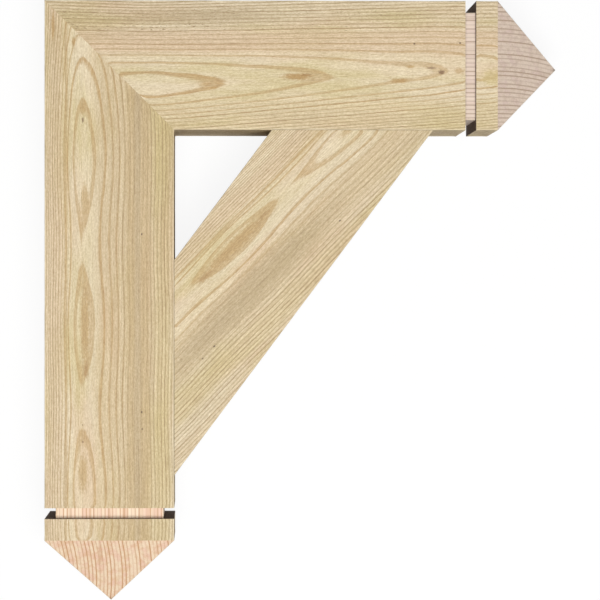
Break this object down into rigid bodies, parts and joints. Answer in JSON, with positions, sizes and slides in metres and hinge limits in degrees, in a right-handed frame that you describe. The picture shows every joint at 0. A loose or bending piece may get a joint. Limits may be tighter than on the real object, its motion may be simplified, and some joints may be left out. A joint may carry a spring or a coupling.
{
  "type": "timber bracket",
  "caption": "Timber bracket: a mitred post and arm with grooved, four-sided points, joined by a diagonal brace; its back sits on a wall and its top under a beam or eave.",
  "frame": {"origin": "middle of the bracket's box, on the floor that it lies on", "axes": "+X along the arm, away from the wall; +Y up the post, as the bracket is put up; +Z the thickness of the timbers, up from the floor as it lies"},
  "size_m": [0.6096, 0.7112, 0.1524],
  "materials": {
    "post_timber": "rough sawn softwood, bare",
    "arm_timber": "rough sawn softwood, bare",
    "brace_timber": "rough sawn softwood, bare"
  },
  "bodies": {
    "root": {"wall_post": "post_timber", "top_arm": "arm_timber", "diagonal_brace": "brace_timber"}
  },
  "joints": []
}
